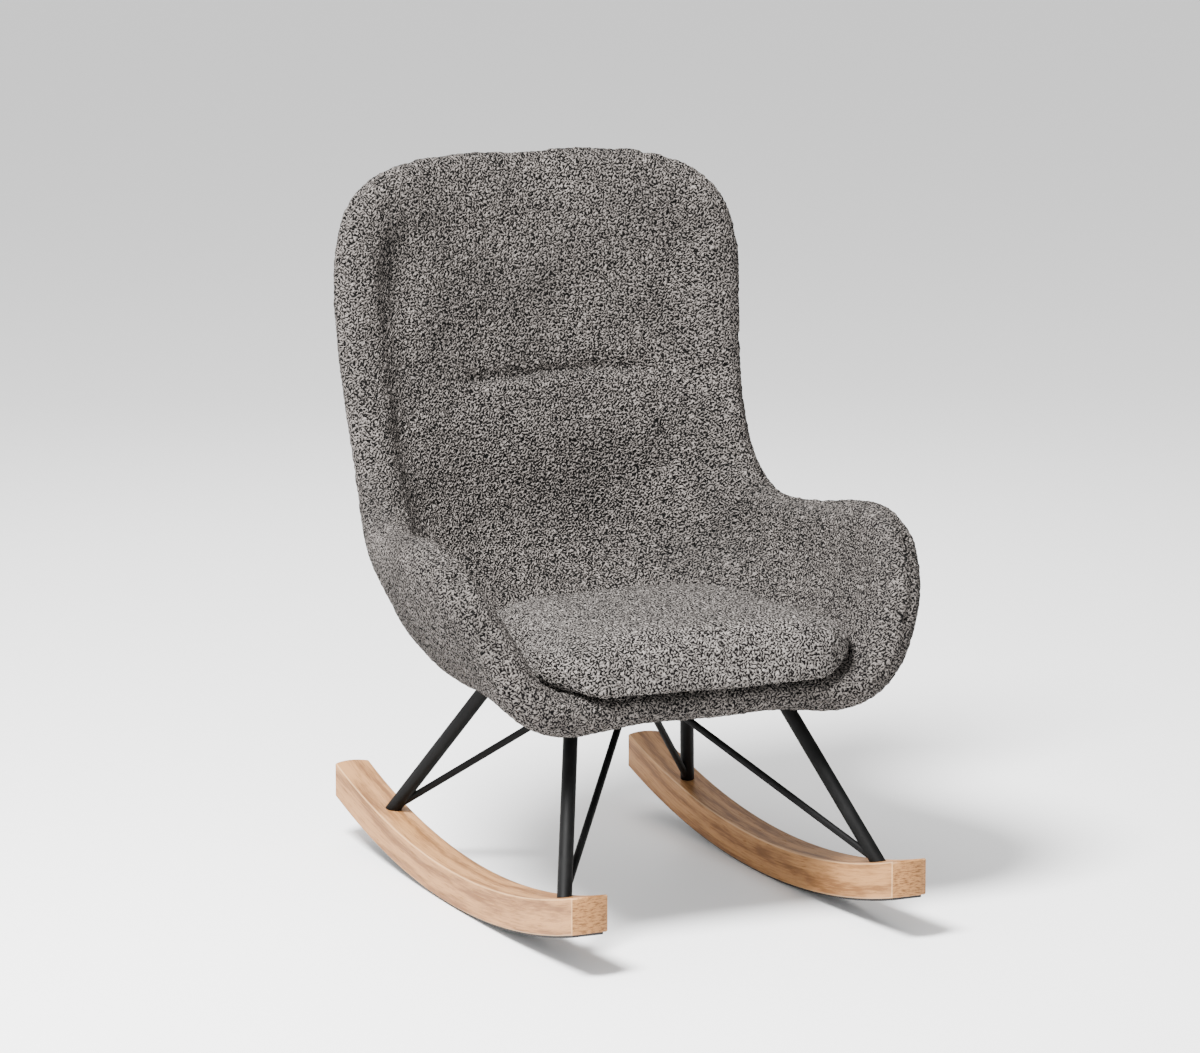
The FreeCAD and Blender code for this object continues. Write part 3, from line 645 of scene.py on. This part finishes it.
facing_end = add(oak, "ShaderNodeNewGeometry").outputs["Normal"]
end_split = add(oak, "ShaderNodeSeparateXYZ")
oak.links.new(facing_end, end_split.inputs[0])
end = between(oak, math_node(oak, "ABSOLUTE", end_split.outputs["Y"]), 0.8, 0.93)
end_place = add(oak, "ShaderNodeCombineXYZ")
oak.links.new(math_node(oak, "MULTIPLY", split.outputs["X"], 0.22), end_place.inputs[0])
oak.links.new(inward, end_place.inputs[2])
end_marks = noise(oak, end_place.outputs[0], 480, 3, 0.7).outputs["Fac"]
end_streaks = between(oak, end_marks, 0.42, 0.66)
end_wood = mix_colours(oak, end_streaks, inside.outputs["Light"], (0.1, 0.045, 0.018, 1))
end_wood = mix_colours(oak, 0.3, end_wood, inside.outputs["Dark"])
# Painted highlight: faces turned partly sideways, the rounded edges of the slat, are mixed towards a pale
# colour that stands in for the light they catch.
sideways = math_node(oak, "ABSOLUTE", end_split.outputs["X"])
painted_edge_highlight = math_node(oak, "MULTIPLY", between(oak, sideways, 0.25, 0.4), between(oak, sideways, 0.97, 0.88))
wood = mix_colours(oak, math_node(oak, "MULTIPLY", painted_edge_highlight, 0.4), wood, (0.6, 0.4, 0.22, 1))
oak.links.new(mix_colours(oak, end, wood, end_wood), outside.inputs["Color"])
relief = math_node(oak, "SUBTRACT", math_node(oak, "MULTIPLY", fine, 0.4), pores)
oak.links.new(relief, outside.inputs["Height"])
oak.links.new(pores, outside.inputs["Pores"])


# %% Oak material
def oak_finish(title, light, dark, contrast):
    material, tree, shader, place = finish_named(title, 0.5, Specular_IOR_Level=0.12)
    group = add(tree, "ShaderNodeGroup", node_tree=oak)
    tree.links.new(place, group.inputs["Place"])
    group.inputs["Light"].default_value = (*light, 1)
    group.inputs["Dark"].default_value = (*dark, 1)
    group.inputs["Ring Contrast"].default_value = contrast
    tree.links.new(group.outputs["Color"], shader.inputs["Base Color"])
    rough = math_node(tree, "ADD", 0.52, math_node(tree, "MULTIPLY", group.outputs["Pores"], 0.3))
    tree.links.new(rough, shader.inputs["Roughness"])
    add_bump(tree, shader, group.outputs["Height"], 0.00025, 0.6)
    return material


oiled_oak = oak_finish("oiled oak", (0.38, 0.19, 0.073), (0.16, 0.07, 0.024), 0.8)

# %% [markdown]
# ### Coated and bare surfaces
# Powder coat is a matte paint baked onto steel: it has a faint orange-peel skin and catches a
# little dust. Plated steel has fine scratches. One group gives the uneven, slightly worn look of
# any hard surface, and each material decides how much of it to use.

# %% Uneven surface group
uneven, inside, outside = new_group(
    "uneven surface",
    [("Place", "NodeSocketVector", None), ("Main", "NodeSocketColor", (0.5, 0.5, 0.5, 1)),
     ("Worn", "NodeSocketColor", (0.6, 0.6, 0.6, 1)), ("Wear", "NodeSocketFloat", 0.3),
     ("Roughness", "NodeSocketFloat", 0.5), ("Grain Scale", "NodeSocketFloat", 900.0)],
    [("Color", "NodeSocketColor"), ("Roughness", "NodeSocketFloat"), ("Height", "NodeSocketFloat")],
)
cloud = noise(uneven, inside.outputs["Place"], 38, 4, 0.6).outputs["Fac"]
peel = noise(uneven, inside.outputs["Place"], 900, 2, 0.5)
uneven.links.new(inside.outputs["Grain Scale"], peel.inputs["Scale"])
rubbed = math_node(uneven, "MULTIPLY", between(uneven, cloud, 0.45, 0.75), inside.outputs["Wear"])
worn_colour = mix_colours(uneven, rubbed, inside.outputs["Main"], inside.outputs["Worn"])
uneven.links.new(worn_colour, outside.inputs["Color"])
spread = math_node(uneven, "MULTIPLY", math_node(uneven, "SUBTRACT", cloud, 0.5), 0.25)
uneven.links.new(math_node(uneven, "ADD", inside.outputs["Roughness"], spread), outside.inputs["Roughness"])
uneven.links.new(peel.outputs["Fac"], outside.inputs["Height"])


# %% Hard materials
def hard_finish(title, main, worn, wear, roughness, grain, bump_height, metallic=0.0, **constants):
    material, tree, shader, place = finish_named(title, roughness, metallic, **constants)
    group = add(tree, "ShaderNodeGroup", node_tree=uneven)
    tree.links.new(place, group.inputs["Place"])
    group.inputs["Main"].default_value = (*main, 1)
    group.inputs["Worn"].default_value = (*worn, 1)
    group.inputs["Wear"].default_value = wear
    group.inputs["Roughness"].default_value = roughness
    group.inputs["Grain Scale"].default_value = grain
    tree.links.new(group.outputs["Color"], shader.inputs["Base Color"])
    tree.links.new(group.outputs["Roughness"], shader.inputs["Roughness"])
    add_bump(tree, shader, group.outputs["Height"], bump_height)
    return material


powder_coat = hard_finish(
    "black powder coat", (0.002, 0.002, 0.002), (0.008, 0.008, 0.008), 0.5, 0.6, 1300, 0.00012,
    Specular_IOR_Level=0.12,
)
zinc = hard_finish(
    "zinc plated steel", (0.55, 0.55, 0.57), (0.42, 0.42, 0.43), 0.6, 0.36, 700, 0.00006, metallic=1.0,
)
strip_rubber = hard_finish(
    "grip strip rubber", (0.012, 0.012, 0.012), (0.05, 0.048, 0.045), 0.5, 0.8, 500, 0.0003,
)
sleeve_plastic = hard_finish(
    "sleeve plastic", (0.02, 0.02, 0.02), (0.04, 0.04, 0.04), 0.3, 0.55, 600, 0.0001,
)
dust_cloth = hard_finish(
    "dust cover cloth", (0.012, 0.012, 0.013), (0.045, 0.045, 0.045), 0.7, 0.95, 350, 0.0006,
)
zip_weave = hard_finish(
    "zip tape weave", (0.16, 0.15, 0.145), (0.24, 0.225, 0.215), 0.6, 0.9, 800, 0.0004,
)
zip_metal = hard_finish(
    "zip slider metal", (0.3, 0.3, 0.31), (0.45, 0.44, 0.42), 0.5, 0.4, 900, 0.00005, metallic=1.0,
)
foam_block = hard_finish(
    "foam", (0.80, 0.74, 0.50), (0.70, 0.62, 0.38), 0.5, 0.95, 260, 0.0008,
)

# %% [markdown]
# ### Plywood
# The seat board and the moulded shell are plywood. Thin veneers lie crosswise on each other, so a
# cut edge shows light and dark stripes and a face shows long quiet grain.

# %% Plywood material
def plywood(title, light, dark):
    material, tree, shader, place = finish_named(title, 0.6)
    split = add(tree, "ShaderNodeSeparateXYZ")
    tree.links.new(place, split.inputs[0])
    stack = math_node(tree, "SINE", math_node(tree, "MULTIPLY", split.outputs["Z"], 4300))
    layers = between(tree, stack, -0.3, 0.5)
    stretch = add(tree, "ShaderNodeMapping")
    stretch.inputs["Scale"].default_value = (1, 0.06, 1)
    tree.links.new(place, stretch.inputs["Vector"])
    grain = between(tree, noise(tree, stretch.outputs[0], 160, 4, 0.6).outputs["Fac"], 0.35, 0.7)
    upright = add(tree, "ShaderNodeSeparateXYZ")
    tree.links.new(add(tree, "ShaderNodeNewGeometry").outputs["Normal"], upright.inputs[0])
    flat = between(tree, math_node(tree, "ABSOLUTE", upright.outputs["Z"]), 0.5, 0.8)
    mask = mix_colours(tree, flat, layers, grain)
    colour = mix_colours(tree, mask, (*light, 1), (*dark, 1))
    tree.links.new(colour, shader.inputs["Base Color"])
    add_bump(tree, shader, grain, 0.0001)
    return material


birch_ply = plywood("birch plywood", (0.68, 0.52, 0.34), (0.5, 0.34, 0.19))
stained_ply = plywood("black stained plywood", (0.022, 0.019, 0.017), (0.009, 0.008, 0.007))

# %% [markdown]
# ## Dressing the CAD pieces
# The hard pieces keep their CAD shape and place. Each one only gets the finish its slot in the record
# names, and keeps the flat or smooth shading it was imported with.

# %% Hand out the finishes
finish_of_slot = {
    "boucle_upholstery": upholstery_cloth_painted_shade,
    "boucle_cushion": cushion_cloth_painted_light,
    "oak": oiled_oak,
    "black_powder_coat": powder_coat,
    "zinc_steel": zinc,
    "strip_rubber": strip_rubber,
    "spacer_plastic": sleeve_plastic,
    "dust_cloth": dust_cloth,
    "zip_tape": zip_weave,
    "zip_metal": zip_metal,
    "foam": foam_block,
    "shell_ply": birch_ply,
    "base_ply": stained_ply,
}
slot_of_node = {part["node"]: part["material_slot"] for part in frame["record"]["subparts"]}
for name, piece in nodes.items():
    piece.data.materials.clear()
    piece.data.materials.append(finish_of_slot[slot_of_node[name]])
for piece, material in ((bucket, upholstery_cloth_painted_shade), (cushion, cushion_cloth_painted_light)):
    piece.data.materials.clear()
    piece.data.materials.append(material)
print(len(nodes), "CAD nodes finished")

# %% [markdown]
# ## A pale studio
# A wide pale floor and large soft lamps keep the shadows faint. The key lamp hangs high to the
# chair's right and the far side of the room is dim, as with a dark screen there, so the inside of
# the near wing falls into shade while its outside stays bright.

# %% Floor, lamps and camera
bpy.ops.object.select_all(action="DESELECT")
bpy.ops.mesh.primitive_plane_add(size=400, location=(0, 0, 0))
floor = bpy.context.object
floor.name = "floor"
floor_paint, _, shader, _ = finish_named("floor paint", 0.9, Specular_IOR_Level=0.1)
shader.inputs["Base Color"].default_value = (0.93, 0.93, 0.93, 1)
floor.data.materials.append(floor_paint)

studio = bpy.data.worlds.new("studio")
bpy.context.scene.world = studio
studio.use_nodes = True
sky = studio.node_tree
sky.nodes["Background"].inputs["Color"].default_value = (1, 1, 1, 1)
direction = add(sky, "ShaderNodeSeparateXYZ")
sky.links.new(add(sky, "ShaderNodeTexCoord").outputs["Generated"], direction.inputs[0])
dimmed = between(sky, direction.outputs["X"], -0.1, 0.6)
glow = math_node(sky, "SUBTRACT", 1.6, math_node(sky, "MULTIPLY", dimmed, 1.4))
sky.links.new(glow, sky.nodes["Background"].inputs["Strength"])


def hang_lamp(title, place, target, size, power):
    bpy.ops.object.light_add(type="AREA", location=place)
    lamp = bpy.context.object
    lamp.name = title
    lamp.data.shape = "DISK"
    lamp.data.size = size
    lamp.data.energy = power
    lamp.rotation_euler = (Vector(target) - Vector(place)).to_track_quat("-Z", "Y").to_euler()
    return lamp


hang_lamp("key", (-1.8, -1.0, 3.5), (0, 0, 0.45), 1.3, 660)
hang_lamp("fill", (2.2, -2.8, 1.9), (0, 0, 0.5), 2.4, 12)
hang_lamp("rim", (0.8, 2.6, 2.4), (0, 0, 0.6), 1.8, 40)

CAMERA_PLACE = Vector((-2.58418, -5.70676, 1.62343))
CAMERA_AZIMUTH = math.radians(-24.136)
CAMERA_ELEVATION = math.radians(10.312)
bpy.ops.object.camera_add(location=CAMERA_PLACE)
camera = bpy.context.object
camera.data.sensor_width = 36
camera.data.lens = 146.14
back = Vector((
    math.sin(CAMERA_AZIMUTH) * math.cos(CAMERA_ELEVATION),
    -math.cos(CAMERA_AZIMUTH) * math.cos(CAMERA_ELEVATION),
    math.sin(CAMERA_ELEVATION),
))
right = Vector((math.cos(CAMERA_AZIMUTH), math.sin(CAMERA_AZIMUTH), 0))
up = back.cross(right)
camera.rotation_euler = Matrix((right, up, back)).transposed().to_euler()
bpy.context.scene.camera = camera
